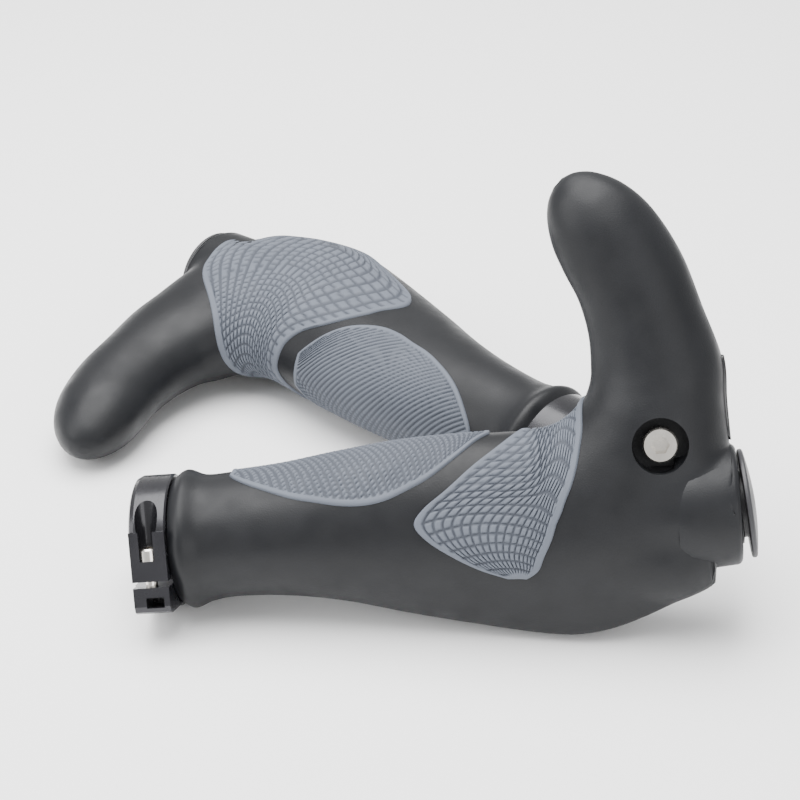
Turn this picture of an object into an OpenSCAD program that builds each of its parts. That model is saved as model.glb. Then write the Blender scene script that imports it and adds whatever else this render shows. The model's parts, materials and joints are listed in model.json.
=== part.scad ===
// Pair of bar end grips for a bicycle handlebar.
// Each hand has a lock-on grip with a palm wing and a forward horn under one rubber cover.
// Hand frame: X runs out along the bar from the lock ring, Y forward, Z up on the palm side.

/* [Handlebar] */
// Outside diameter of the handlebar
bar_d = 22.2; // [21:0.1:23.8]

/* [Grip] */
// Length from the lock ring's inner face to the outer end
grip_l = 148; // [135:1:180]
// Diameter of the rubber at the neck
neck_d = 31; // [30:0.5:38]
// How far the wing's edge stands behind the bar axis
wing_reach = 30; // [22:1:38]
// Wall of the nylon core sleeve
core_wall = 1.6; // [1.2:0.1:2.2]

/* [Horn] */
// How far the horn's tip stands in front of the bar axis
horn_reach = 81; // [70:1:105]
// Width of the horn at its root
horn_w = 30; // [26:1:34]
// Thickness of the horn at its root
horn_t = 24; // [20:1:28]
// How far the horn's tip leans in towards the rider's centre
horn_lean = 20; // [8:1:24]

/* [Pads] */
// How deep the pads sit in the cover
pad_depth = 1.6; // [1:0.1:2.2]
// How far the pads stand out of the cover
pad_proud = 0.5; // [0.2:0.1:1]

/* [Lock ring] */
// Width of the lock ring along the bar
ring_w = 9.5; // [8:0.5:12]
// Outside diameter of the lock ring
ring_d = 33; // [32:0.5:38]
// Gap where the lock ring is split
ring_slit = 1.5; // [1:0.1:2.5]
// Thread diameter of the lock ring bolt
ring_bolt_d = 3; // [2.5:0.5:3]

/* [Clamp] */
// Width of the clamp along the bar
clamp_w = 12; // [10:1:15]
// Wall of the clamp's ring
clamp_wall = 2.4; // [2:0.1:3]
// Thread diameter of the clamp bolt
clamp_bolt_d = 5; // [4:1:6]
// How far the clamp bolt stands in front of the bar axis
clamp_bolt_y = 17; // [16:0.5:20]

/* [End plug] */
// Diameter of the end plug's disc
plug_d = 26.6; // [24:0.2:28]
// Length of the end plug's barrel
plug_l = 10; // [8:1:12]
// Tilt of the loose end plug
plug_tilt = 4.5; // [0:0.5:5]

/* [Hidden] */
$fn = 48;

// Fits
bar_clear = 0.05;
bolt_clear = 0.05;
ring_gap = 0.3;
eps = 0.01;

// Radii from the bar outwards
bore_r = bar_d / 2 + bar_clear;
core_r = bore_r + core_wall;
clamp_r = bore_r + clamp_wall;
neck_r = neck_d / 2;
collar_r = neck_r + 1.8;
drum_r = 14.7;

// Places along the bar
cover_x0 = ring_w + ring_gap;
clamp_x = grip_l - 18;
clamp_x0 = clamp_x - clamp_w / 2;
clamp_x1 = clamp_x + clamp_w / 2;
drum_x0 = grip_l - 12;

// The crotch between horn and tube is an arc round this point
crotch_x = grip_l - 48;
crotch_y = 36;
crotch_r = 14.7;
horn_x = grip_l - 18;

// ---- The cover's surface -------------------------------------------------
// A section is [x, y, turn, inner, outer, top, bottom, thin, full]: its centre, the way its inner
// side faces, its four half sizes, how much the underside thins towards the outer edge, and the
// exponent that makes the palm side's outer shoulder full (2 is an ellipse).

// Sections across the tube, from the collar at the lock ring to the wing
wing_x0 = cover_x0 + 14;
wing_l = crotch_x - 2 - wing_x0;
function wing_section(t, front, rear, thin) =
  [wing_x0 + wing_l * t, 0, 90, neck_r + front, neck_r + (wing_reach - neck_r) * rear,
   neck_r - 0.3, neck_r - 0.3, thin, 2 + 0.5 * t];
tube_sections = [
  [cover_x0, 0, 90, neck_r, neck_r, neck_r, neck_r, 0, 2],
  [cover_x0 + 3, 0, 90, collar_r, collar_r, collar_r, collar_r, 0, 2],
  [cover_x0 + 7.5, 0, 90, neck_r + 0.3, neck_r + 0.3, neck_r + 0.3, neck_r + 0.3, 0, 2],
  wing_section(0.00, 0.5, -0.03, 0),
  wing_section(0.17, 1.5, 0.01, 0),
  wing_section(0.36, 3.5, 0.17, 0.1),
  wing_section(0.57, 5.3, 0.45, 0.25),
  wing_section(0.79, 5.9, 0.71, 0.4),
  wing_section(1.00, 5.8, 0.93, 0.5)
];

// Sections that fan round the crotch, from the wing to the root of the horn
side_r = grip_l - 1.7 - crotch_x;
wing_r = crotch_y + wing_reach + 0.5;
function fan_section(angle, wing, mid, flesh, thin, full) =
  let (out_r = side_r + (wing_r - side_r) * wing)
  [crotch_x + mid * cos(angle), crotch_y + mid * sin(angle), angle + 180,
   mid - crotch_r, out_r - mid, flesh + 0.4, flesh, thin, full];
root_t = horn_t / 2;
fan_sections = [
  fan_section(-82, 1.00, 36.3, neck_r - 0.3, 0.5, 2.6),
  fan_section(-72, 1.01, 37.5, neck_r - 0.4, 0.5, 2.8),
  fan_section(-62, 0.98, 37.5, neck_r - 0.5, 0.45, 3),
  fan_section(-50, 0.80, 36.5, neck_r - 0.7, 0.3, 3.2),
  fan_section(-38, 0.62, 34.5, neck_r - 1.2, 0.15, 3.2),
  fan_section(-26, 0.28, 32.0, root_t + 2.0, 0, 2.8),
  fan_section(-13, 0.07, 31.0, root_t + 0.8, 0, 2.4),
  fan_section(0, 0.00, 30.5, root_t - 0.1, 0, 2.1)
];

// Sections along the horn, which leans in more and more and ends in a round tip
horn_l = horn_reach - crotch_y;
tip_start = 0.62;
horn_steps = [0.23, 0.47, 0.68, 0.82, 0.92, 0.975, 0.998];
function tip_round(t) = t < tip_start ? 1 : sqrt(1 - pow((t - tip_start) / (1 - tip_start), 2.4));
function horn_section(t) =
  let (
    wide = (horn_w / 2 - 2.2 * t) * tip_round(t),
    thick = (root_t - 1.9 * t) * tip_round(t)
  )
  [horn_x - horn_lean * pow(t, 2.2), crotch_y + horn_l * t,
   180 + atan(2.2 * horn_lean * pow(t, 1.2) / horn_l),
   wide + 0.3, wide - 1, thick, thick - 0.4, 0, 2];
horn_sections = [for (t = horn_steps) horn_section(t)];

sections = concat(tube_sections, fan_sections, horn_sections);
last = len(sections) - 1;

// The section at station s, on a smooth curve through the sections
function section_no(i) = sections[max(0, min(last, i))];
function section(s) =
  let (
    i = min(floor(s), last - 1),
    t = s - i,
    a = section_no(i - 1),
    b = section_no(i),
    c = section_no(i + 1),
    d = section_no(i + 2)
  )
  b + (c - a) * t / 2 + (2 * a - 5 * b + 4 * c - d) * t * t / 2 + (3 * b - a - 3 * c + d) * t * t * t / 2;

// A point of the cover at station s and angle round the section, raised by grow.
// Angle 0 is the inner or forward side, 90 the palm side and -90 the underside.
function signed_pow(v, e) = sign(v) * pow(abs(v), e);
function surface_point(s, angle, grow = 0) =
  let (
    f = section(s),
    shoulder = cos(angle) < 0 && sin(angle) > 0,
    e = shoulder ? 2 / f[8] : 1,
    side = signed_pow(cos(angle), e),
    rise = signed_pow(sin(angle), e),
    wide = (side > 0 ? f[3] : f[4]) + grow,
    thick = (rise > 0 ? f[5] : f[6]) + grow,
    thin = side < 0 && rise < 0 ? 1 - f[7] * side * side : 1
  )
  [f[0] + wide * side * cos(f[2]), f[1] + wide * side * sin(f[2]), thick * rise * thin];

// ---- Solids on that surface ----------------------------------------------

// Joins rings of equal length into a closed solid with flat ends. Each ring runs anticlockwise as
// seen from the last ring, or clockwise if reverse is set.
module skin(rings, reverse = false) {
  n = len(rings);
  m = len(rings[0]);
  sides = [for (i = [0:n - 2]) for (j = [0:m - 1])
    let (a = i * m + j, b = i * m + (j + 1) % m)
    each [[a, b + m, b], [a, a + m, b + m]]];
  ends = [[for (j = [0:m - 1]) j], [for (j = [m - 1:-1:0]) (n - 1) * m + j]];
  faces = concat(sides, ends);
  polyhedron(
    [for (r = rings) each r],
    [for (f = faces) reverse ? [for (k = [len(f) - 1:-1:0]) f[k]] : f],
    convexity = 6);
}

// The whole outside of the cover
cover_sides = 32;
module cover_body() {
  steps = 2;
  skin([for (k = [0:last * steps])
    [for (j = [0:cover_sides - 1]) surface_point(k / steps, 360 * j / cover_sides)]]);
}

// Rows of a pad's outline are [station, angle, station, angle]: the two ends of a line across it
function row_point(row, t, height) =
  surface_point(row[0] + (row[2] - row[0]) * t, row[1] + (row[3] - row[1]) * t, height);

// A slab that follows the cover inside an outline, from height low to height high
module slab(rows, low, high, cells, reverse = false) {
  skin([for (row = rows) concat(
    [for (j = [0:cells]) row_point(row, j / cells, high)],
    [for (j = [cells:-1:0]) row_point(row, j / cells, low)]
  )], reverse);
}

// The finger pad's outline, along the tube: [station, underside angle, station, palm side angle]
finger_rows = [for (r = [
    [3.05, -16, 12], [3.2, -24, 30], [3.5, -35, 45], [3.9, -46, 60], [4.3, -55, 70], [4.7, -61, 77],
    [5.1, -66, 82], [5.5, -68, 84], [5.85, -66, 86], [6.2, -60, 85], [6.5, -53, 80], [6.8, -42, 71],
    [7.05, -30, 58], [7.25, -16, 42], [7.38, -6, 30]
  ]) [r[0], r[1], r[0], r[2]]];

// The palm pad's outline, round the tube: [angle, inner station, outer station]
palm_rows = [for (r = [
    [-117, 7.55, 7.85], [-112, 7.15, 8.1], [-104, 6.75, 8.3], [-94, 6.4, 8.7], [-84, 6.25, 9.1],
    [-74, 6.4, 9.5], [-62, 6.75, 10.2], [-48, 7.1, 11.1], [-32, 7.45, 12.1], [-16, 7.7, 12.9],
    [0, 7.85, 13.5], [16, 7.82, 13.75], [32, 7.75, 13.75], [48, 7.55, 13.65], [64, 7.2, 13.6],
    [80, 6.9, 13.6], [94, 6.68, 13.6], [106, 6.5, 13.5], [116, 6.5, 13.25], [126, 6.75, 12.9],
    [134, 7.4, 12.45], [141, 8.2, 11.9], [147, 9.1, 11.2]
  ]) [r[1], r[0], r[2], r[0]]];

// The trim strip runs up the horn's outer face
trim_rows = [for (r = [[14.15, 3], [14.25, 8], [14.6, 11.5], [15, 12], [15.5, 11], [15.95, 8], [16.05, 3]])
  [r[0], 180 - r[1], r[0], 180 + r[1]]];

pad_cut = 3;
trim_depth = 0.8;
trim_proud = 0.5;
module finger_slab(low, high) slab(finger_rows, low, high, 10);
module palm_slab(low, high) slab(palm_rows, low, high, 14, true);
module trim_slab(low, high) slab(trim_rows, low, high, 3);

// A cylinder along the bar
module along_bar(x0, x1, r, r2 = undef) {
  translate([x0, 0, 0])
    rotate([0, 90, 0])
      cylinder(h = x1 - x0, r1 = r, r2 = is_undef(r2) ? r : r2);
}

// ---- Pieces ---------------------------------------------------------------

// The clamp's lugs stand forward on both sides of its bolt
lug_y = clamp_bolt_y + 6.5;
lug_h = 14.4;
head_d = 1.7 * clamp_bolt_d;
head_h = clamp_bolt_d;
recess_d = head_d + 5;
bolt_grip = lug_h - 1.6;

// The horn's stiff spine follows the horn's centre line, thinner than the rubber
spine_root_r = 7.5;
spine_r = 7;
spine_tip_r = 4.8;
spine_root = [clamp_x - 0.5, lug_y - 2.5, 0];
spine_knee = [horn_x - horn_lean * 0.12, crotch_y + horn_l * 0.38, 0];
spine_tip = [horn_x - horn_lean * 0.6, crotch_y + horn_l * 0.8, 0];
module tapered_rod(a, b, ra, rb, lead = 0) {
  d = b - a;
  translate(a)
    rotate([0, 0, atan2(d[1], d[0])])
      rotate([0, 90, 0])
        translate([0, 0, -lead])
          cylinder(h = norm(d) + lead, r1 = ra, r2 = rb);
}
module spine() {
  tapered_rod(spine_root, spine_knee, spine_root_r, spine_r);
  tapered_rod(spine_knee, spine_tip, spine_r - 0.3, spine_tip_r, 2);
}

// The clamp's ring with its two forward lugs, without its cuts
module clamp_blank() {
  along_bar(clamp_x0, clamp_x1, clamp_r);
  translate([clamp_x0, 0, -lug_h / 2])
    cube([clamp_w, lug_y, lug_h]);
}

module bolt_recess() {
  translate([clamp_x, clamp_bolt_y, -40])
    cylinder(h = 40 - lug_h / 2, d = recess_d);
}

module cover() {
  color([0.16, 0.17, 0.19])
    difference() {
      union() {
        cover_body();
        along_bar(drum_x0, grip_l - 1.4, drum_r + 0.9, drum_r);
        along_bar(grip_l - 1.4 - eps, grip_l, drum_r, drum_r - 1.4);
      }
      along_bar(-1, grip_l + 1, bore_r + 0.4);
      along_bar(cover_x0 - 1, clamp_x1, core_r);
      clamp_blank();
      spine();
      bolt_recess();
      finger_slab(-pad_depth, pad_cut);
      palm_slab(-pad_depth, pad_cut);
      trim_slab(-trim_depth, pad_cut);
    }
}

module finger_pad() {
  color([0.46, 0.49, 0.54]) finger_slab(-pad_depth, pad_proud);
}

module palm_pad() {
  color([0.46, 0.49, 0.54])
    difference() {
      palm_slab(-pad_depth, pad_proud);
      along_bar(clamp_x0, clamp_x1, clamp_r);
    }
}

module trim_strip() {
  color([0.05, 0.05, 0.06]) trim_slab(-trim_depth, trim_proud);
}

module core_sleeve() {
  color([0.1, 0.1, 0.11])
    difference() {
      along_bar(cover_x0, clamp_x0, core_r);
      along_bar(cover_x0 - 1, clamp_x0 + 1, bore_r);
    }
}

module horn_core() {
  color([0.1, 0.1, 0.11])
    difference() {
      spine();
      clamp_blank();
      bolt_recess();
    }
}

clamp_slit = 1.6;
module clamp() {
  color([0.2, 0.2, 0.22])
    difference() {
      clamp_blank();
      along_bar(clamp_x0 - 1, clamp_x1 + 1, bore_r);
      translate([clamp_x0 - 1, 0, -clamp_slit / 2])
        cube([clamp_w + 2, lug_y + 1, clamp_slit]);
      translate([clamp_x, clamp_bolt_y, -lug_h / 2 - 1])
        cylinder(h = bolt_grip + 1 + bolt_clear, r = clamp_bolt_d / 2 + bolt_clear);
    }
}

// A socket-head bolt with its head below and its shank up along Z from the seat
module socket_bolt(d, length, head_r, head_l) {
  key = 0.78 * d;
  difference() {
    union() {
      cylinder(h = length, r = d / 2);
      translate([0, 0, -head_l])
        rotate_extrude()
          polygon([[0, 0], [head_r - 0.4, 0], [head_r, 0.4], [head_r, head_l], [0, head_l]]);
    }
    translate([0, 0, -head_l - eps])
      cylinder(h = head_l * 0.55, d = key / cos(30), $fn = 6);
  }
}

module clamp_bolt() {
  color([0.78, 0.77, 0.74])
    translate([clamp_x, clamp_bolt_y, -lug_h / 2])
      socket_bolt(clamp_bolt_d, bolt_grip, head_d / 2, head_h);
}

// The lock ring has a boss on its underside, with a flat for the bolt's head
ring_r = ring_d / 2;
ring_head_r = 0.9 * ring_bolt_d;
ring_bolt_wall = 0.5;
ring_bolt_x = ring_w / 2;
ring_bolt_z = -bore_r - ring_bolt_wall - ring_head_r;
ring_bolt_seat = -2.4;
ring_bolt_l = 8.5;
ring_slit_y = -8.1;
key_slot_w = 3.6;
window_x = ring_w - 5.8;
window_w = 4.4;
window_h = 2.6;
boss_y0 = -ring_r + 1;
boss_y1 = 4.8;
boss_z = ring_bolt_z - ring_head_r - 0.1;
module ring_blank() {
  edge = 1.6;
  rotate([0, 90, 0])
    rotate_extrude()
      polygon([
        [0, 0], [ring_r - edge, 0], [ring_r - 0.5, 0.5], [ring_r, edge],
        [ring_r, ring_w - 0.4], [ring_r - 0.4, ring_w], [0, ring_w]
      ]);
  translate([0.6, 0, 0])
    rotate([0, 90, 0])
      linear_extrude(height = ring_w - 0.6)
        polygon([
          [-boss_z, boss_y1], [-boss_z, boss_y0 + 2], [-boss_z - 0.6, boss_y0 + 0.6],
          [-boss_z - 2, boss_y0], [5, boss_y0], [5, boss_y1]
        ]);
}

module lock_ring() {
  color([0.12, 0.12, 0.13])
    difference() {
      ring_blank();
      along_bar(-1, ring_w + 1, bore_r);
      translate([-1, ring_slit_y - ring_slit / 2, boss_z - 2])
        cube([ring_w + 2, ring_slit, ring_r]);
      // Clearance hole for the shank, then the pocket for the head and its slot in the flat
      translate([ring_bolt_x, boss_y1 + 3, ring_bolt_z])
        rotate([90, 0, 0])
          cylinder(h = boss_y1 + 3 - ring_bolt_seat + ring_bolt_l + 0.1, r = ring_bolt_d / 2 + bolt_clear);
      translate([ring_bolt_x, ring_r, ring_bolt_z])
        rotate([90, 0, 0])
          cylinder(h = ring_r - ring_bolt_seat, r = ring_head_r + 0.15);
      translate([ring_bolt_x - key_slot_w / 2, ring_bolt_seat, boss_z - 1])
        cube([key_slot_w, ring_r - ring_bolt_seat, 2]);
      // Window through the lower lug
      translate([window_x, boss_y0 + 1.6, boss_z - 1])
        cube([window_w, window_h, ring_d]);
    }
}

module lock_ring_bolt() {
  color([0.78, 0.77, 0.74])
    translate([ring_bolt_x, ring_bolt_seat, ring_bolt_z])
      rotate([90, 0, 0])
        socket_bolt(ring_bolt_d, ring_bolt_l, ring_head_r, ring_bolt_d);
}

// A domed disc with a ribbed barrel, sitting loosely tilted in the outer end
module end_plug() {
  barrel_r = bore_r - 3;
  fin_r = bore_r - 1.6;
  dome = 1.2;
  color([0.07, 0.07, 0.08])
    translate([grip_l + ring_gap + plug_d / 2 * sin(plug_tilt), 0, 0])
      rotate([0, 0, plug_tilt])
        rotate([0, 90, 0])
          rotate_extrude()
            polygon(concat(
              [[0, -plug_l], [barrel_r - 0.8, -plug_l]],
              [for (k = [0:3]) each [
                [barrel_r, -plug_l + 1 + 2.2 * k], [fin_r, -plug_l + 1.4 + 2.2 * k],
                [fin_r, -plug_l + 2 + 2.2 * k], [barrel_r, -plug_l + 2.3 + 2.2 * k]]],
              [[barrel_r, 0], [plug_d / 2, 0], [plug_d / 2, 0.8], [plug_d / 2 - 1, 1.4],
               [plug_d / 4, 1.4 + 0.8 * dome], [0, 1.4 + dome]]
            ));
}

// ---- The pair on the table ------------------------------------------------

// The right grip lies palm up on its lock ring, elbow and horn tip
right_heading = 134;
right_turn = [-7, 0.5, right_heading];
right_height = 18.2 + max(ring_r - 16.5, collar_r - 17.3);
// The left grip stands on its wing edge and lock ring, and leans back
left_turn = [5.7, -6.5, 4];
left_stand = 58;
left_height = 0.9 * wing_reach - 2.05;
// The right grip's inner end stops short of the left grip
pair_gap = 17.5;
apart = clamp_x * sin(right_heading) + ring_r + pair_gap;
right_place = [-38.2, apart / 2 - 2.6, right_height];
left_place = [13.8, -apart / 2 - 2.6, left_height];

module at_right() {
  translate(right_place)
    rotate(right_turn)
      translate([-clamp_x, 0, 0])
        children();
}

module at_left() {
  translate(left_place)
    rotate([left_stand, 0, 0])
      rotate(left_turn)
        translate([-grip_l / 2, 0, 0])
          mirror([0, 0, 1])
            children();
}

at_right() cover();  // right_cover
at_right() finger_pad();  // right_finger_pad
at_right() palm_pad();  // right_palm_pad
at_right() trim_strip();  // right_trim_strip
at_right() core_sleeve();  // right_core_sleeve
at_right() horn_core();  // right_horn_core
at_right() clamp();  // right_clamp
at_right() clamp_bolt();  // right_clamp_bolt
at_right() lock_ring();  // right_lock_ring
at_right() lock_ring_bolt();  // right_lock_ring_bolt
at_right() end_plug();  // right_end_plug
at_left() cover();  // left_cover
at_left() finger_pad();  // left_finger_pad
at_left() palm_pad();  // left_palm_pad
at_left() trim_strip();  // left_trim_strip
at_left() core_sleeve();  // left_core_sleeve
at_left() horn_core();  // left_horn_core
at_left() clamp();  // left_clamp
at_left() clamp_bolt();  // left_clamp_bolt
at_left() lock_ring();  // left_lock_ring
at_left() lock_ring_bolt();  // left_lock_ring_bolt
at_left() end_plug();  // left_end_plug
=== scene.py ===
import json
import math

import bmesh
import bpy
import numpy as np
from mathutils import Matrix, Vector


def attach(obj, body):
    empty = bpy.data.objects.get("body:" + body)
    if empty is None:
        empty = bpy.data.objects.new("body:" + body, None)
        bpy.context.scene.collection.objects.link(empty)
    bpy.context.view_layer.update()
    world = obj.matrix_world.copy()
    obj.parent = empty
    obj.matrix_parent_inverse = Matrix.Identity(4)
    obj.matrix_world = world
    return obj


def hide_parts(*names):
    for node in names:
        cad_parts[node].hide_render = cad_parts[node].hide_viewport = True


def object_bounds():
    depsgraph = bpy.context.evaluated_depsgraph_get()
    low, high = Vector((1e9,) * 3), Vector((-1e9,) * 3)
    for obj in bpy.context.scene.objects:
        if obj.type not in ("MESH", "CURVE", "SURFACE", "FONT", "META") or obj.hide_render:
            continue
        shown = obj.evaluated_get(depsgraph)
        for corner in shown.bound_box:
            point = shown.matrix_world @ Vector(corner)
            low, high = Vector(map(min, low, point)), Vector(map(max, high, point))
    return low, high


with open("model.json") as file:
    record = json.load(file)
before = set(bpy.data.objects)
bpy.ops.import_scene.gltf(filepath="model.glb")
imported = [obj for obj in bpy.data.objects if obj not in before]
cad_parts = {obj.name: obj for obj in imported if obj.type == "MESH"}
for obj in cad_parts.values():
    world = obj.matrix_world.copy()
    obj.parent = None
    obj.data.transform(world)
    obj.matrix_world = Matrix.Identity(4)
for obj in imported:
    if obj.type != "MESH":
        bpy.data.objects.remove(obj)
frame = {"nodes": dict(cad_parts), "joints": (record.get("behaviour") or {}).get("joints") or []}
cad_low, cad_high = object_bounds()

MM = 0.001
TINY = 1e-6

# ---- Sizes in millimetres, as in the part's source ------------------------
GRIP_L = 148.0
NECK_R = 15.5
COLLAR_R = 17.3
WING_REACH = 30.0
BORE_R = 11.15
CORE_R = 12.75
DRUM_R = 14.7
DRUM_X0 = 136.0
COVER_X0 = 9.8
CLAMP_X = 130.0
CLAMP_BOLT_Y = 17.0
BOLT_JOINT_Z = -7.0
LUG_SEAT_Z = -7.2
RECESS_R = 6.75
CROTCH_X, CROTCH_Y, CROTCH_R = 100.0, 36.0, 14.7
HORN_X = 130.0
HORN_REACH, HORN_W, HORN_T, HORN_LEAN = 81.0, 30.0, 24.0, 20.0
PLUG_R, PLUG_L, PLUG_TILT = 13.3, 10.0, 4.5
PAD_PROUD = 0.5

# ---- The cover's surface --------------------------------------------------
# A section is [centre x, centre y, turn of its wide axis in degrees, reach along that axis,
# reach against it, half thickness above, half thickness below, thinning of the far underside,
# fullness of the far upper side, where 2 is an ellipse].
WING_X0, WING_X1 = COVER_X0 + 14, CROTCH_X - 2
NECK_FLAT = NECK_R - 0.3
SIDE_INSET = 1.7
WING_SPARE = 0.5
PALM_EXTRA = 0.4

ROOT_T = HORN_T / 2
TIP_START, TIP_POWER = 0.62, 2.4
TAPER_W, TAPER_T = 2.2, 1.9
LEAN_POWER, SLOPE_POWER = 2.2, 1.2
HORN_INNER, HORN_OUTER, HORN_UNDER = 0.3, 1.0, 0.4


def round_section(x, r):
    """A circle round the bar."""
    return [x, 0, 90, r, r, r, r, 0, 2]


def wing_section(t, front, rear, thin):
    """A section across the bar, t of the way from the neck to the crotch."""
    outer = NECK_R + (WING_REACH - NECK_R) * rear
    return [WING_X0 + (WING_X1 - WING_X0) * t, 0, 90, NECK_R + front, outer,
            NECK_FLAT, NECK_FLAT, thin, 2 + 0.5 * t]


def fan_section(angle, wing, mid, flesh, thin, full):
    """A section turned by angle about the crotch, between the wing and the horn's root."""
    side_r = GRIP_L - SIDE_INSET - CROTCH_X
    wing_r = CROTCH_Y + WING_REACH + WING_SPARE
    out_r = side_r + (wing_r - side_r) * wing
    a = math.radians(angle)
    return [CROTCH_X + mid * math.cos(a), CROTCH_Y + mid * math.sin(a), angle + 180,
            mid - CROTCH_R, out_r - mid, flesh + PALM_EXTRA, flesh, thin, full]


def horn_section(t):
    """A section across the horn, t of the way from its root to its rounded tip."""
    length = HORN_REACH - CROTCH_Y
    shrink = 1
    if t >= TIP_START:
        shrink = math.sqrt(1 - ((t - TIP_START) / (1 - TIP_START)) ** TIP_POWER)
    wide = (HORN_W / 2 - TAPER_W * t) * shrink
    thick = (HORN_T / 2 - TAPER_T * t) * shrink
    slope = LEAN_POWER * HORN_LEAN * t ** SLOPE_POWER / length
    return [HORN_X - HORN_LEAN * t ** LEAN_POWER, CROTCH_Y + length * t,
            180 + math.degrees(math.atan(slope)), wide + HORN_INNER,
            wide - HORN_OUTER * shrink, thick, thick - HORN_UNDER * shrink, 0, 2]


SECTIONS = np.array(
    [round_section(COVER_X0, NECK_R), round_section(COVER_X0 + 3, COLLAR_R),
     round_section(COVER_X0 + 7.5, NECK_R + 0.3)]
    + [wing_section(*w) for w in (
        (0.00, 0.5, -0.03, 0), (0.17, 1.5, 0.01, 0), (0.36, 3.5, 0.17, 0.1),
        (0.57, 5.3, 0.45, 0.25), (0.79, 5.9, 0.71, 0.4), (1.00, 5.8, 0.93, 0.5))]
    + [fan_section(*f) for f in (
        (-82, 1.00, 36.3, NECK_R - 0.3, 0.5, 2.6), (-72, 1.01, 37.5, NECK_R - 0.4, 0.5, 2.8),
        (-62, 0.98, 37.5, NECK_R - 0.5, 0.45, 3), (-50, 0.80, 36.5, NECK_R - 0.7, 0.3, 3.2),
        (-38, 0.62, 34.5, NECK_R - 1.2, 0.15, 3.2), (-26, 0.28, 32.0, ROOT_T + 2.0, 0, 2.8),
        (-13, 0.07, 31.0, ROOT_T + 0.8, 0, 2.4), (0, 0.00, 30.5, ROOT_T - 0.1, 0, 2.1))]
    + [horn_section(t) for t in (0.23, 0.47, 0.68, 0.82, 0.92, 0.975, 0.998)])
LAST = len(SECTIONS) - 1


def smooth_rows(rows, s):
    """The row at place s on a smooth curve through the rows."""
    last = len(rows) - 1
    s = np.asarray(s, float)
    i = np.minimum(np.floor(s).astype(int), last - 1)
    t = (s - i)[..., None]
    a, b, c, d = (rows[np.clip(i + k, 0, last)] for k in (-1, 0, 1, 2))
    return (b + (c - a) * t / 2 + (2 * a - 5 * b + 4 * c - d) * t ** 2 / 2
            + (3 * b - a - 3 * c + d) * t ** 3 / 2)


def step(x, low, high):
    """0 below low, 1 above high, and a smooth ramp between them."""
    t = np.clip((x - low) / (high - low), 0, 1)
    return t * t * (3 - 2 * t)


SWELL_BEHIND = 10
SWELL_X0, SWELL_X1 = 102, 116
SWELL_R, SWELL_WING_R = DRUM_R + 0.2, 13.4
EASE, EASE_X0, EASE_X1 = 8, 100, 134
CORNER_X0, CORNER_L = 124, 23.5
FAIRING = 1.3


def swell(points):
    """Fairs the cover out to the round outer end and the wing behind it, so no step shows."""
    x, y, z = points[..., 0], points[..., 1], points[..., 2]
    spine = np.clip(y, -SWELL_BEHIND, 0)
    across = y - spine
    rad = np.hypot(across, z)
    behind = step(-spine, 0, SWELL_BEHIND)
    past = np.clip(x - CORNER_X0, 0, None) / CORNER_L
    round_off = np.sqrt(np.clip(1 - past ** 2, 0, 1))
    wanted = (SWELL_R * (1 - behind) + SWELL_WING_R * round_off * behind
              - EASE * (1 - step(x, EASE_X0, EASE_X1)))
    new = wanted + FAIRING * np.logaddexp(0, (rad - wanted) / FAIRING)
    scale = 1 + (new / np.maximum(rad, TINY) - 1) * step(x, SWELL_X0, SWELL_X1)
    return np.stack([x, spine + across * scale, z * scale], -1)


def surface(s, angle, grow=0.0):
    """Points of the cover at station s and angle round its section, raised by grow."""
    s, angle, grow = np.broadcast_arrays(*(np.asarray(v, float) for v in (s, angle, grow)))
    f = smooth_rows(SECTIONS, s)
    c, n = np.cos(np.radians(angle)), np.sin(np.radians(angle))
    e = np.where((c < 0) & (n > 0), 2 / f[..., 8], 1.0)
    side = np.sign(c) * np.abs(c) ** e
    rise = np.sign(n) * np.abs(n) ** e
    thin = np.where((side < 0) & (rise < 0), 1 - f[..., 7] * side ** 2, 1.0)
    turn = np.radians(f[..., 2])

    def point(more):
        wide = np.where(side > 0, f[..., 3], f[..., 4]) + more
        thick = np.where(rise > 0, f[..., 5], f[..., 6]) + more
        return np.stack([f[..., 0] + wide * side * np.cos(turn),
                         f[..., 1] + wide * side * np.sin(turn), thick * rise * thin], -1)

    base = point(0.0)
    return swell(base) + point(grow) - base


# ---- Each hand's own frame ------------------------------------------------
joints = {j["name"]: j for j in frame["joints"]}


class Hand:
    """X runs out along the bar from the lock ring, Y forward, Z up on the palm side.

    The left hand's frame mirrors the right one's."""

    def __init__(self, side):
        self.side = side
        self.ex = np.array(joints[side + "_end_plug_pull"]["axis"], float)
        self.ez = -np.array(joints[side + "_clamp_bolt_turn"]["axis"], float)
        self.ey = np.cross(self.ez, self.ex) * (1 if side == "right" else -1)
        seat = np.array(joints[side + "_clamp_bolt_turn"]["pos_m"], float) / MM
        self.origin = (seat - CLAMP_X * self.ex - CLAMP_BOLT_Y * self.ey
                       - BOLT_JOINT_Z * self.ez)

    def place(self, points):
        """Points of the hand's frame in millimetres, as points of the scene in metres."""
        p = np.asarray(points, float).reshape(-1, 3)
        return (self.origin + p @ np.array([self.ex, self.ey, self.ez])) * MM


HANDS = [Hand("right"), Hand("left")]

# ---- Mesh helpers ---------------------------------------------------------


def make(name, hand, verts, faces, sharp=40, shaded_groove=None):
    """An object from points in the hand's frame. The last argument, where given, is a groove depth
    for each point, which the material turns into painted shade in the grooves.
    """
    mesh = bpy.data.meshes.new(name)
    mesh.from_pydata([tuple(v) for v in hand.place(verts)], [], faces)
    if shaded_groove is not None:
        layer = mesh.attributes.new("shaded_groove", "FLOAT", "POINT")
        layer.data.foreach_set("value", np.asarray(shaded_groove, np.float32))
    bm = bmesh.new()
    bm.from_mesh(mesh)
    bmesh.ops.recalc_face_normals(bm, faces=bm.faces)
    bm.to_mesh(mesh)
    bm.free()
    obj = bpy.data.objects.new(name, mesh)
    bpy.context.scene.collection.objects.link(obj)
    soften(obj, sharp)
    return obj


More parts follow.
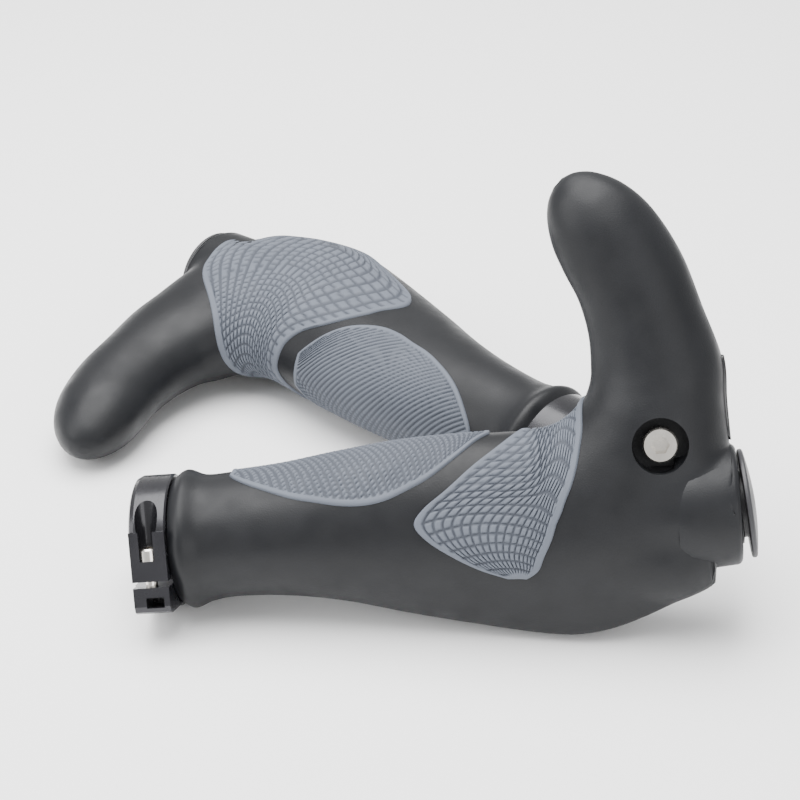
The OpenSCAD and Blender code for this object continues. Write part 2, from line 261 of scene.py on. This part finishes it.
def soften(obj, sharp):
    """Smooth shading, apart from edges over sharp degrees."""
    obj.data.shade_smooth()
    obj.data.set_sharp_from_angle(angle=math.radians(sharp))


def grid_faces(rows, cols, wrap=False, start=0):
    """Quads between neighbouring points of a grid, closed round each row if wrap is set."""
    faces = []
    for i in range(rows - 1):
        for j in range(cols if wrap else cols - 1):
            k = (j + 1) % cols
            faces.append((start + i * cols + j, start + i * cols + k,
                          start + (i + 1) * cols + k, start + (i + 1) * cols + j))
    return faces


def full_turn(sides):
    """Angles all the way round, in radians."""
    return np.linspace(0, 2 * math.pi, sides, endpoint=False)


def tube(rings):
    """A closed solid through rings of points."""
    n, m = len(rings), len(rings[0])
    faces = grid_faces(n, m, wrap=True)
    faces += [tuple(range(m)), tuple((n - 1) * m + j for j in range(m))]
    return np.concatenate(rings), faces


def revolve(profile, at, tilt=0.0, sides=96):
    """A solid turned about the bar's direction, from (x, radius) points, both ends on the axis."""
    profile = np.array(profile, float)
    a = full_turn(sides)
    inner = profile[1:-1]
    ring = np.stack([np.repeat(inner[:, 0], sides), (inner[:, 1:2] * np.cos(a)).ravel(),
                     (inner[:, 1:2] * np.sin(a)).ravel()], 1)
    verts = np.concatenate([ring, [[profile[0, 0], 0, 0], [profile[-1, 0], 0, 0]]])
    faces = grid_faces(len(inner), sides, wrap=True)
    first, end = len(ring), len(ring) + 1
    low = (len(inner) - 1) * sides
    for j in range(sides):
        k = (j + 1) % sides
        faces += [(first, k, j), (end, low + j, low + k)]
    t = math.radians(tilt)
    turn = np.array([[math.cos(t), -math.sin(t), 0], [math.sin(t), math.cos(t), 0], [0, 0, 1]])
    return verts @ turn.T + np.asarray(at, float), faces


def annulus(profile, sides=128):
    """A ring turned about the bar from a closed loop of (x, radius) points."""
    profile = np.array(profile, float)
    x, r = profile[:, 0], profile[:, 1]
    rings = [np.stack([x, r * math.cos(t), r * math.sin(t)], 1) for t in full_turn(sides)]
    n, m = len(rings), len(profile)
    faces = [(i * m + j, i * m + (j + 1) % m, (i + 1) % n * m + (j + 1) % m, (i + 1) % n * m + j)
             for i in range(n) for j in range(m)]
    return np.concatenate(rings), faces


def carve(obj, cutters, sharp):
    """Cuts the cutters out of the object and removes them."""
    for c in cutters:
        m = obj.modifiers.new("cut", "BOOLEAN")
        m.operation = "DIFFERENCE"
        m.solver = "EXACT"
        m.object = c
    cut = obj.evaluated_get(bpy.context.evaluated_depsgraph_get())
    mesh = bpy.data.meshes.new_from_object(cut)
    obj.modifiers.clear()
    obj.data = mesh
    for c in cutters:
        bpy.data.objects.remove(c)
    soften(obj, sharp)


# ---- Materials ------------------------------------------------------------
PATCH_SCALE, PATCH_DETAIL = 60.0, 3
ROUGH_SCALE, ROUGH_DETAIL = 140.0, 4
GRAIN_DETAIL = 2
NOISE_SPAN = (0.3, 0.7)
WEAR_SPAN = (0.52, 0.66)
WORN_SHADE = 2.2
RELIEF_DEPTH = 0.0001
COAT_ROUGHNESS = 0.12
MIX_FACTOR, MIX_A, MIX_B, MIX_RESULT = 0, 6, 7, 2  # a colour Mix node's sockets


def material(name, colour, rough, metal=0.0, vary=0.08, rough_vary=0.08, grain=1800.0,
             bump=0.15, specular=0.5, shaded_groove=None, wear=0.0, coat=0.0):
    """A Principled material with mottled colour and roughness, a fine grain, worn edges and, where
    a groove colour is given, painted shade in the grooves.
    """
    mat = bpy.data.materials.new(name)
    mat.use_nodes = True
    nodes, links = mat.node_tree.nodes, mat.node_tree.links
    shader = nodes["Principled BSDF"]
    shader.inputs["Metallic"].default_value = metal
    shader.inputs["Specular IOR Level"].default_value = specular
    shader.inputs["Coat Weight"].default_value = coat
    shader.inputs["Coat Roughness"].default_value = COAT_ROUGHNESS
    place = nodes.new("ShaderNodeTexCoord")

    def noise(scale, detail):
        n = nodes.new("ShaderNodeTexNoise")
        n.inputs["Scale"].default_value = scale
        n.inputs["Detail"].default_value = detail
        links.new(place.outputs["Object"], n.inputs["Vector"])
        return n.outputs["Fac"]

    def spread(value, low, high, span=NOISE_SPAN):
        n = nodes.new("ShaderNodeMapRange")
        n.inputs["From Min"].default_value = span[0]
        n.inputs["From Max"].default_value = span[1]
        n.inputs["To Min"].default_value = low
        n.inputs["To Max"].default_value = high
        links.new(value, n.inputs["Value"])
        return n.outputs["Result"]

    def mix(factor, a, b):
        n = nodes.new("ShaderNodeMix")
        n.data_type = "RGBA"
        for key, v in ((MIX_FACTOR, factor), (MIX_A, a), (MIX_B, b)):
            if isinstance(v, bpy.types.NodeSocket):
                links.new(v, n.inputs[key])
            else:
                n.inputs[key].default_value = v
        return n.outputs[MIX_RESULT]

    def shade(f):
        return tuple(min(1.0, c * f) for c in colour) + (1.0,)

    patches = spread(noise(PATCH_SCALE, PATCH_DETAIL), 0.0, 1.0)
    base = mix(patches, shade(1 - vary), shade(1 + vary))
    # Painted shade: the colour is darkened in the pads' grooves by their stored depth, standing in
    # for the shade that falls in them.
    if shaded_groove is not None:
        depth = nodes.new("ShaderNodeAttribute")
        depth.attribute_name = "shaded_groove"
        base = mix(depth.outputs["Fac"], base, tuple(shaded_groove) + (1.0,))
    if wear:
        edge = nodes.new("ShaderNodeNewGeometry").outputs["Pointiness"]
        base = mix(spread(edge, 0.0, wear, WEAR_SPAN), base, shade(WORN_SHADE))
    links.new(base, shader.inputs["Base Color"])
    links.new(spread(noise(ROUGH_SCALE, ROUGH_DETAIL), rough - rough_vary, rough + rough_vary),
              shader.inputs["Roughness"])
    relief = nodes.new("ShaderNodeBump")
    relief.inputs["Strength"].default_value = bump
    relief.inputs["Distance"].default_value = RELIEF_DEPTH
    links.new(noise(grain, GRAIN_DETAIL), relief.inputs["Height"])
    links.new(relief.outputs["Normal"], shader.inputs["Normal"])
    return mat


FINISHES = {
    "black_rubber": dict(colour=(0.0085, 0.009, 0.0105), rough=0.44, vary=0.12, grain=2600,
                         bump=0.35, specular=0.24, wear=0.25),
    # The grey rubber's dark groove colour is painted shade for the grooves between its cells and
    # ribs.
    "grey_rubber": dict(colour=(0.105, 0.117, 0.142), rough=0.62, vary=0.06, grain=2200,
                        bump=0.3, specular=0.25, shaded_groove=(0.050, 0.056, 0.070)),
    "gloss_trim": dict(colour=(0.012, 0.012, 0.014), rough=0.20, rough_vary=0.05, grain=900,
                       bump=0.05, coat=0.3),
    "black_nylon": dict(colour=(0.028, 0.028, 0.031), rough=0.6, grain=1500, bump=0.3),
    "dark_alloy": dict(colour=(0.05, 0.05, 0.055), rough=0.38, metal=0.7, grain=2400,
                       bump=0.25, wear=0.5),
    "black_anodised": dict(colour=(0.018, 0.018, 0.021), rough=0.26, metal=0.5,
                           rough_vary=0.06, grain=3600, bump=0.12, wear=0.5, coat=0.15),
    "stainless": dict(colour=(0.66, 0.63, 0.58), rough=0.22, metal=1.0, vary=0.05, grain=2600,
                      bump=0.12, wear=0.2),
    "plug_plastic": dict(colour=(0.020, 0.020, 0.023), rough=0.46, grain=1500, bump=0.35),
}
MATERIALS = {slot: material(slot, **finish) for slot, finish in FINISHES.items()}


def dress(obj, slot):
    """Gives an object one slot's material."""
    obj.data.materials.clear()
    obj.data.materials.append(MATERIALS[slot])


def stand_for(obj, hand, body, slot, node=None):
    """Dresses a new piece, puts it on its body and, where node is given, in that node's place."""
    dress(obj, slot)
    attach(obj, f"{hand.side}_{body}")
    if node:
        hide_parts(f"{hand.side}_{node}")


# ---- The rubber cover -----------------------------------------------------
COVER_STEPS = 8
COVER_SIDES = 128
COVER_PHASE = 1.3
COVER_SHARP = 50
OUTER_BORE_R = BORE_R + 0.4
CUT_PAST = 2
WELL_SIDES, WELL_BOTTOM_Z = 96, -40
LIP_R = 1.4
DRUM_HIDDEN = 3


def cover(hand):
    """The moulding over tube, wing and horn, with the bore and the clamp bolt's recess cut out."""
    s = np.linspace(0, LAST, LAST * COVER_STEPS + 1)
    angle = np.linspace(0, 360, COVER_SIDES, endpoint=False) + COVER_PHASE
    verts, faces = tube(list(surface(s[:, None], angle[None, :])))
    obj = make(hand.side + "_cover_rubber", hand, verts, faces, sharp=COVER_SHARP)
    bore = make("bore", hand, *revolve(
        [(COVER_X0 - CUT_PAST, 0), (COVER_X0 - CUT_PAST, CORE_R), (DRUM_X0, CORE_R),
         (DRUM_X0, OUTER_BORE_R), (GRIP_L + CUT_PAST, OUTER_BORE_R), (GRIP_L + CUT_PAST, 0)],
        (0, 0, 0)))
    a = full_turn(WELL_SIDES)
    well = [np.stack([CLAMP_X + RECESS_R * np.cos(a), CLAMP_BOLT_Y + RECESS_R * np.sin(a),
                      np.full(len(a), z)], 1) for z in (WELL_BOTTOM_Z, LUG_SEAT_Z)]
    carve(obj, [bore, make("well", hand, *tube(well))], COVER_SHARP)
    stand_for(obj, hand, "grip", "black_rubber", "cover")


def drum(hand):
    """The round outer end, with a softly turned lip round the bore."""
    lip = [(GRIP_L - LIP_R * (1 - math.cos(t)), DRUM_R - LIP_R * (1 - math.sin(t)))
           for t in np.linspace(0, math.pi / 2, 7)]
    loop = ([(DRUM_X0 - DRUM_HIDDEN, OUTER_BORE_R), (GRIP_L - 0.4, OUTER_BORE_R),
             (GRIP_L, BORE_R + 0.8)]
            + lip + [(DRUM_X0, DRUM_R + 0.9), (DRUM_X0 - DRUM_HIDDEN, DRUM_R + 0.2)])
    obj = make(hand.side + "_cover_end", hand, *annulus(loop), sharp=COVER_SHARP)
    stand_for(obj, hand, "grip", "black_rubber")


# ---- The pads and the trim strip ------------------------------------------
# Finger rows are [station, first angle, last angle].
FINGER_ROWS = np.array([
    [3.05, -16, 12], [3.2, -24, 30], [3.5, -35, 45], [3.9, -46, 60], [4.3, -55, 70],
    [4.7, -61, 77], [5.1, -66, 82], [5.5, -68, 84], [5.85, -66, 86], [6.2, -60, 85],
    [6.5, -53, 80], [6.8, -42, 71], [7.05, -30, 58], [7.25, -16, 42], [7.38, -6, 30]])
# Palm rows are [angle, first station, last station].
PALM_ROWS = np.array([
    [-117, 7.55, 7.85], [-112, 7.15, 8.1], [-104, 6.75, 8.3], [-94, 6.4, 8.7], [-84, 6.25, 9.1],
    [-74, 6.4, 9.5], [-62, 6.75, 10.2], [-48, 7.1, 11.1], [-32, 7.45, 12.1], [-16, 7.7, 12.9],
    [0, 7.85, 13.5], [16, 7.82, 13.75], [32, 7.75, 13.75], [48, 7.55, 13.65], [64, 7.2, 13.6],
    [80, 6.9, 13.6], [94, 6.68, 13.6], [106, 6.5, 13.5], [116, 6.5, 13.25], [126, 6.75, 12.9],
    [134, 7.4, 12.45], [141, 8.2, 11.9], [147, 9.1, 11.2]])
# Trim rows are [station, half the angle that the strip covers].
TRIM_ROWS = np.array([[14.15, 3], [14.25, 8], [14.6, 11.5], [15, 12], [15.5, 11], [15.95, 8],
                      [16.05, 3]])

PAD_RISE = PAD_PROUD + 0.15
PAD_SUNK = 0.5
TRIM_RISE = 0.6
GROOVE_DEPTH, GROOVE_FADE = 0.42, 0.45
FIELD_DROP, FIELD_FADE = 0.12, 0.5
RIM_W = 0.6
END_EDGE = 0.02


def lines(x, pitch, width):
    """1 on grooves every pitch and 0 between them, in millimetres."""
    off = np.abs((x / pitch + 0.5) % 1 - 0.5) * pitch
    return 1 - step(off, width * 0.35, width)


def lengths(p, axis):
    """Distance of each point from the first one, along the grid's rows or columns."""
    d = np.linalg.norm(np.diff(p, axis=axis), axis=-1)
    zero = np.zeros_like(np.take(d, [0], axis=axis))
    return np.concatenate([zero, np.cumsum(d, axis=axis)], axis=axis)


def table_grid(rows, along, across, low=0.0):
    """Smooth rows from a table, and places across them from low to 1."""
    places = np.linspace(0, len(rows) - 1, along)
    return smooth_rows(rows, places), np.linspace(low, 1, across)[None, :]


def pad(hand, name, stations, angles, pattern, rise, bead, depth):
    """A slab on the cover's surface. pattern gives groove depth from 0 to 1 on its upper side; the
    depths are also stored on the mesh for painted shade in the grooves.
    """
    rows, cols = stations.shape
    flat = surface(stations, angles)
    down, over = lengths(flat, 0), lengths(flat, 1)
    edge = np.minimum(np.minimum(over, over[:, -1:] - over),
                      np.minimum(down, down[-1:, :] - down) + END_EDGE)
    shaded_groove = pattern(down, over, over[:, -1:]) * step(edge, bead, bead + GROOVE_FADE)
    rim = np.sqrt(np.clip(1 - (1 - np.clip(edge / RIM_W, 0, 1)) ** 2, 0, 1))
    height = rise * rim - depth * shaded_groove - FIELD_DROP * step(edge, bead, bead + FIELD_FADE)
    top = surface(stations, angles, height)
    bottom = surface(stations, angles, -PAD_SUNK)
    count = rows * cols
    faces = grid_faces(rows, cols) + [f[::-1] for f in grid_faces(rows, cols, start=count)]
    border = ([(0, j) for j in range(cols)] + [(i, cols - 1) for i in range(1, rows)]
              + [(rows - 1, j) for j in range(cols - 2, -1, -1)]
              + [(i, 0) for i in range(rows - 2, 0, -1)])
    loop = [i * cols + j for i, j in border]
    faces += [(a, b, b + count, a + count) for a, b in zip(loop, loop[1:] + loop[:1])]
    verts = np.concatenate([top.reshape(-1, 3), bottom.reshape(-1, 3)])
    # The groove depths go onto the mesh, where the grey rubber darkens the grooves with painted
    # shade.
    depths = np.concatenate([shaded_groove.ravel(), np.zeros(count)])
    return make(hand.side + name, hand, verts, faces, sharp=60, shaded_groove=depths)


def finger_pad(hand):
    """Slanted ribs, cut into studs near the first edge."""
    r, u = table_grid(FINGER_ROWS, along=210, across=150)
    stations = np.repeat(r[:, :1], u.size, 1)
    angles = r[:, 1:2] + (r[:, 2:3] - r[:, 1:2]) * u

    def pattern(down, over, width):
        middle = over - width / 2
        ribs = lines(down + 0.62 * middle, pitch=1.75, width=0.55)
        studs = lines(down - 0.9 * middle, pitch=1.9, width=0.5) * (1 - step(u, 0.30, 0.55))
        return np.maximum(ribs, studs)

    obj = pad(hand, "_finger_pad_rubber", stations, angles, pattern,
              rise=PAD_RISE, bead=1.3, depth=GROOVE_DEPTH)
    stand_for(obj, hand, "grip", "grey_rubber", "finger_pad")


def palm_pad(hand):
    """Coarser cells between lines round the section and lines across it."""
    r, u = table_grid(PALM_ROWS, along=260, across=170)
    stations = r[:, 1:2] + (r[:, 2:3] - r[:, 1:2]) * u
    angles = np.repeat(r[:, :1], u.size, 1)

    def pattern(down, over, width):
        round_lines = lines(u * 58, pitch=2.9, width=0.62)
        cross_lines = lines(down + 0.36 * over, pitch=3.3, width=0.62)
        return np.maximum(round_lines * step(width, 6, 14), cross_lines)

    obj = pad(hand, "_palm_pad_rubber", stations, angles, pattern,
              rise=PAD_RISE, bead=1.7, depth=GROOVE_DEPTH)
    stand_for(obj, hand, "grip", "grey_rubber", "palm_pad")


def trim_strip(hand):
    """The smooth strip on the horn's outer face."""
    r, u = table_grid(TRIM_ROWS, along=90, across=28, low=-1)
    stations = np.repeat(r[:, :1], u.size, 1)
    angles = 180 + r[:, 1:2] * u

    def plain(down, over, width):
        return np.zeros_like(over)

    obj = pad(hand, "_trim_cap", stations, angles, plain, rise=TRIM_RISE, bead=0.5, depth=0.0)
    stand_for(obj, hand, "grip", "gloss_trim", "trim_strip")


# ---- The end plug ---------------------------------------------------------
PLUG_BARREL_R, PLUG_FIN_R = BORE_R - 3, BORE_R - 1.6
PLUG_FINS, PLUG_FIN_PITCH = 4, 2.2
PLUG_GAP = 0.3
DOME_R, DOME_X, DOME_H = PLUG_R - 1, 1.4, 1.2


def end_plug(hand):
    """A thin domed disc on a barrel with fins, tilted a little in the bore."""
    barrel, fin = PLUG_BARREL_R, PLUG_FIN_R
    profile = [(-PLUG_L, 0), (-PLUG_L, barrel - 0.8)]
    for k in range(PLUG_FINS):
        x = -PLUG_L + PLUG_FIN_PITCH * k
        profile += [(x + 1, barrel), (x + 1.4, fin), (x + 2, fin), (x + 2.3, barrel)]
    profile += [(0, barrel), (0, PLUG_R - 0.3), (0.15, PLUG_R - 0.08), (0.4, PLUG_R)]
    profile += [(0.8 + 0.6 * math.sin(t), DOME_R + math.cos(t))
                for t in np.linspace(0, math.pi / 2, 6)]
    profile += [(DOME_X + DOME_H * (1 - (r / DOME_R) ** 2), r)
                for r in np.linspace(PLUG_R - 2, 0, 9)]
    at = (GRIP_L + PLUG_GAP + PLUG_R * math.sin(math.radians(PLUG_TILT)), 0, 0)
    obj = make(hand.side + "_plug_cap", hand, *revolve(profile, at, PLUG_TILT), sharp=35)
    stand_for(obj, hand, "end_plug", "plug_plastic", "end_plug")


# ---- The other hard pieces keep their CAD solids --------------------------
# Each node has its slot and the width in millimetres of its softened edges.
CAD_FINISH = {
    "core_sleeve": ("black_nylon", 0.1), "horn_core": ("black_nylon", 0.0),
    "clamp": ("dark_alloy", 0.25), "clamp_bolt": ("stainless", 0.22),
    "lock_ring": ("black_anodised", 0.3), "lock_ring_bolt": ("stainless", 0.15)}
EDGE_SEGMENTS = 3
EDGE_ANGLE = 35


def finish_cad(hand):
    """Dresses the CAD nodes and softens their edges."""
    for node, (slot, edge) in CAD_FINISH.items():
        obj = frame["nodes"][f"{hand.side}_{node}"]
        dress(obj, slot)
        if edge:
            bevel = obj.modifiers.new("edges", "BEVEL")
            bevel.width = edge * MM
            bevel.segments = EDGE_SEGMENTS
            bevel.limit_method = "ANGLE"
            bevel.angle_limit = math.radians(EDGE_ANGLE)
            bevel.harden_normals = True


for hand in HANDS:
    for build in (cover, drum, finger_pad, palm_pad, trim_strip, end_plug, finish_cad):
        build(hand)

# ---- Floor, light and camera, in metres -----------------------------------
FLOOR_HALF = 3.0
FLOOR_GAP = 0.0001
PAPER_COLOUR, PAPER_ROUGHNESS = (0.96, 0.96, 0.96, 1), 0.9
WORLD_STRENGTH = 0.9
# Each light is (name, place, what it faces, width and height, watts).
LIGHTS = (("top", (-0.10, 0.05, 0.75), (0, 0, 0.03), (0.9, 0.7), 19.0),
          ("left", (-0.70, -0.25, 0.45), (0, 0, 0.04), (0.5, 0.5), 4.0),
          ("front", (0.45, -0.80, 0.35), (0, -0.05, 0.04), (0.6, 0.4), 2.5))
TARGET = (0.0049, -0.0576, 0.0552)
DISTANCE = 0.500
ELEVATION = 31.8
PIXELS_PER_M = 4120.0
IMAGE_W = 800.0
SENSOR_W = 36.0


def lay_floor():
    """A pale floor just under the part."""
    h = FLOOR_HALF
    mesh = bpy.data.meshes.new("floor")
    mesh.from_pydata([(-h, -h, 0), (h, -h, 0), (h, h, 0), (-h, h, 0)], [], [(0, 1, 2, 3)])
    floor = bpy.data.objects.new("floor", mesh)
    floor.location.z = cad_low.z - FLOOR_GAP
    bpy.context.scene.collection.objects.link(floor)
    paper = bpy.data.materials.new("paper")
    paper.use_nodes = True
    shader = paper.node_tree.nodes["Principled BSDF"]
    shader.inputs["Base Color"].default_value = PAPER_COLOUR
    shader.inputs["Roughness"].default_value = PAPER_ROUGHNESS
    mesh.materials.append(paper)


def light_studio():
    """Plain white surroundings."""
    world = bpy.data.worlds.new("studio")
    world.use_nodes = True
    background = world.node_tree.nodes["Background"]
    background.inputs["Color"].default_value = (1, 1, 1, 1)
    background.inputs["Strength"].default_value = WORLD_STRENGTH
    bpy.context.scene.world = world


def area(name, at, target, size, power):
    """A soft rectangular light that faces the target."""
    light = bpy.data.lights.new(name, "AREA")
    light.shape = "RECTANGLE"
    light.size, light.size_y = size
    light.energy = power
    obj = bpy.data.objects.new(name, light)
    obj.location = at
    obj.rotation_euler = (Vector(target) - Vector(at)).to_track_quat("-Z", "Y").to_euler()
    bpy.context.scene.collection.objects.link(obj)


def aim_camera():
    """A camera that looks along +Y and down at the target."""
    camera = bpy.data.cameras.new("camera")
    camera.sensor_width = SENSOR_W
    camera.lens = SENSOR_W / 2 / (IMAGE_W / 2 / (PIXELS_PER_M * DISTANCE))
    camera.clip_start, camera.clip_end = 0.01, 20
    eye = bpy.data.objects.new("camera", camera)
    el = math.radians(ELEVATION)
    eye.location = (TARGET[0], TARGET[1] - DISTANCE * math.cos(el),
                    TARGET[2] + DISTANCE * math.sin(el))
    eye.rotation_euler = (math.pi / 2 - el, 0, 0)
    bpy.context.scene.collection.objects.link(eye)
    bpy.context.scene.camera = eye


lay_floor()
light_studio()
for light in LIGHTS:
    area(*light)
aim_camera()
